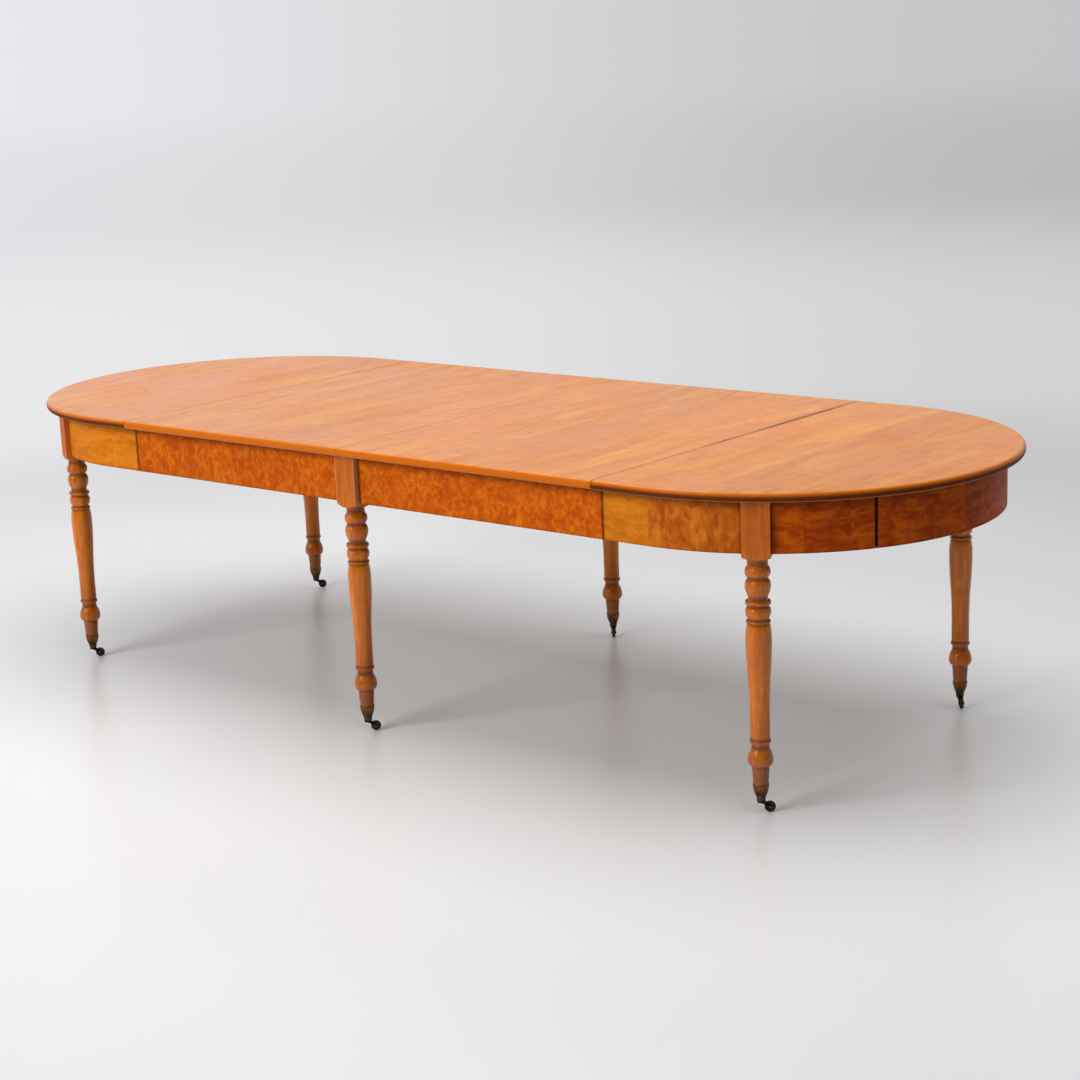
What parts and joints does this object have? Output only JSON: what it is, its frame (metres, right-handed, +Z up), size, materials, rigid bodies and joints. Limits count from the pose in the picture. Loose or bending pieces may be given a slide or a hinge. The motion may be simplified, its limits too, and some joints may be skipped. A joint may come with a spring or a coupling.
{
  "type": "extending dining table",
  "caption": "Extending dining table in polished birch: rounded ends that draw out on wooden runners, loose leaves with aprons between them, and turned legs on small brass casters.",
  "frame": {"origin": "on the floor under the middle of the table", "axes": "+X along the table towards its right end, +Z up, the front long side faces -Y"},
  "size_m": [3.0166, 1.16, 0.75],
  "materials": {
    "top_wood": "french polished birch, grain across the table",
    "apron_figured": "polished figured birch veneer",
    "apron_plain": "polished plain birch, upright grain",
    "leg_wood": "polished turned birch",
    "rail_wood": "planed unpolished pine",
    "brass": "aged dark brass",
    "wheel_iron": "blackened, worn",
    "steel": "dull steel pin"
  },
  "bodies": {
    "centre_frame": {"front_centre_leg": "leg_wood", "back_centre_leg": "leg_wood", "centre_cross_rail": "rail_wood", "centre_runner_front": "rail_wood", "centre_runner_back": "rail_wood", "centre_caster_cups": "brass"},
    "left_end": {"left_end_top": "top_wood", "left_end_return_front": "apron_plain", "left_end_return_back": "apron_plain", "left_end_curve_front": "apron_figured", "left_end_curve_back": "apron_figured", "left_end_curve": "apron_figured", "left_end_cross_rail": "rail_wood", "left_end_leaf_bearers": "rail_wood", "left_end_runner_front": "rail_wood", "left_end_runner_back": "rail_wood", "front_left_leg": "leg_wood", "back_left_leg": "leg_wood", "left_caster_cups": "brass"},
    "left_leaf": {"left_leaf_top": "top_wood", "left_leaf_apron_front": "apron_figured", "left_leaf_apron_back": "apron_figured", "left_leaf_battens": "rail_wood"},
    "right_end": {"right_end_top": "top_wood", "right_end_return_front": "apron_plain", "right_end_return_back": "apron_plain", "right_end_curve_front": "apron_figured", "right_end_curve_back": "apron_figured", "right_end_curve": "apron_figured", "right_end_cross_rail": "rail_wood", "right_end_leaf_bearers": "rail_wood", "right_end_runner_front": "rail_wood", "right_end_runner_back": "rail_wood", "front_right_leg": "leg_wood", "back_right_leg": "leg_wood", "right_caster_cups": "brass"},
    "right_leaf": {"right_leaf_top": "top_wood", "right_leaf_apron_front": "apron_figured", "right_leaf_apron_back": "apron_figured", "right_leaf_battens": "rail_wood"},
    "front_left_caster": {"front_left_caster_horn": "brass", "front_left_caster_axle": "steel"},
    "front_left_wheel": {"front_left_caster_wheel": "wheel_iron"},
    "back_left_caster": {"back_left_caster_horn": "brass", "back_left_caster_axle": "steel"},
    "back_left_wheel": {"back_left_caster_wheel": "wheel_iron"},
    "front_centre_caster": {"front_centre_caster_horn": "brass", "front_centre_caster_axle": "steel"},
    "front_centre_wheel": {"front_centre_caster_wheel": "wheel_iron"},
    "back_centre_caster": {"back_centre_caster_horn": "brass", "back_centre_caster_axle": "steel"},
    "back_centre_wheel": {"back_centre_caster_wheel": "wheel_iron"},
    "front_right_caster": {"front_right_caster_horn": "brass", "front_right_caster_axle": "steel"},
    "front_right_wheel": {"front_right_caster_wheel": "wheel_iron"},
    "back_right_caster": {"back_right_caster_horn": "brass", "back_right_caster_axle": "steel"},
    "back_right_wheel": {"back_right_caster_wheel": "wheel_iron"}
  },
  "joints": [
    {"name": "left_end_draw", "type": "slide", "parent": "centre_frame", "child": "left_end", "axis": [-1, 0, 0], "range_m": [0, 0.12]},
    {"name": "left_leaf_lift", "type": "slide", "parent": "centre_frame", "child": "left_leaf", "axis": [0, 0, 1], "range_m": [0, 0.3]},
    {"name": "right_end_draw", "type": "slide", "parent": "centre_frame", "child": "right_end", "axis": [1, 0, 0], "range_m": [0, 0.12]},
    {"name": "right_leaf_lift", "type": "slide", "parent": "centre_frame", "child": "right_leaf", "axis": [0, 0, 1], "range_m": [0, 0.3]},
    {"name": "front_left_caster_swivel", "type": "hinge", "parent": "left_end", "child": "front_left_caster", "pos_m": [-1.16795, -0.46036, 0.028], "axis": [0, 0, 1], "continuous": true},
    {"name": "front_left_wheel_spin", "type": "hinge", "parent": "front_left_caster", "child": "front_left_wheel", "pos_m": [-1.1524, -0.44777, 0.013], "axis": [-0.6293, 0.7771, 0], "continuous": true},
    {"name": "back_left_caster_swivel", "type": "hinge", "parent": "left_end", "child": "back_left_caster", "pos_m": [-1.16795, 0.46036, 0.028], "axis": [0, 0, 1], "continuous": true},
    {"name": "back_left_wheel_spin", "type": "hinge", "parent": "back_left_caster", "child": "back_left_wheel", "pos_m": [-1.1524, 0.47295, 0.013], "axis": [-0.6293, 0.7771, 0], "continuous": true},
    {"name": "front_centre_caster_swivel", "type": "hinge", "parent": "centre_frame", "child": "front_centre_caster", "pos_m": [0, -0.52, 0.028], "axis": [0, 0, 1], "continuous": true},
    {"name": "front_centre_wheel_spin", "type": "hinge", "parent": "front_centre_caster", "child": "front_centre_wheel", "pos_m": [0.01554, -0.50741, 0.013], "axis": [-0.6293, 0.7771, 0], "continuous": true},
    {"name": "back_centre_caster_swivel", "type": "hinge", "parent": "centre_frame", "child": "back_centre_caster", "pos_m": [0, 0.52, 0.028], "axis": [0, 0, 1], "continuous": true},
    {"name": "back_centre_wheel_spin", "type": "hinge", "parent": "back_centre_caster", "child": "back_centre_wheel", "pos_m": [0.01259, 0.50446, 0.013], "axis": [0.7771, 0.6293, 0], "continuous": true},
    {"name": "front_right_caster_swivel", "type": "hinge", "parent": "right_end", "child": "front_right_caster", "pos_m": [1.16795, -0.46036, 0.028], "axis": [0, 0, 1], "continuous": true},
    {"name": "front_right_wheel_spin", "type": "hinge", "parent": "front_right_caster", "child": "front_right_wheel", "pos_m": [1.18349, -0.44777, 0.013], "axis": [-0.6293, 0.7771, 0], "continuous": true},
    {"name": "back_right_caster_swivel", "type": "hinge", "parent": "right_end", "child": "back_right_caster", "pos_m": [1.16795, 0.46036, 0.028], "axis": [0, 0, 1], "continuous": true},
    {"name": "back_right_wheel_spin", "type": "hinge", "parent": "back_right_caster", "child": "back_right_wheel", "pos_m": [1.18053, 0.44482, 0.013], "axis": [0.7771, 0.6293, 0], "continuous": true}
  ]
}
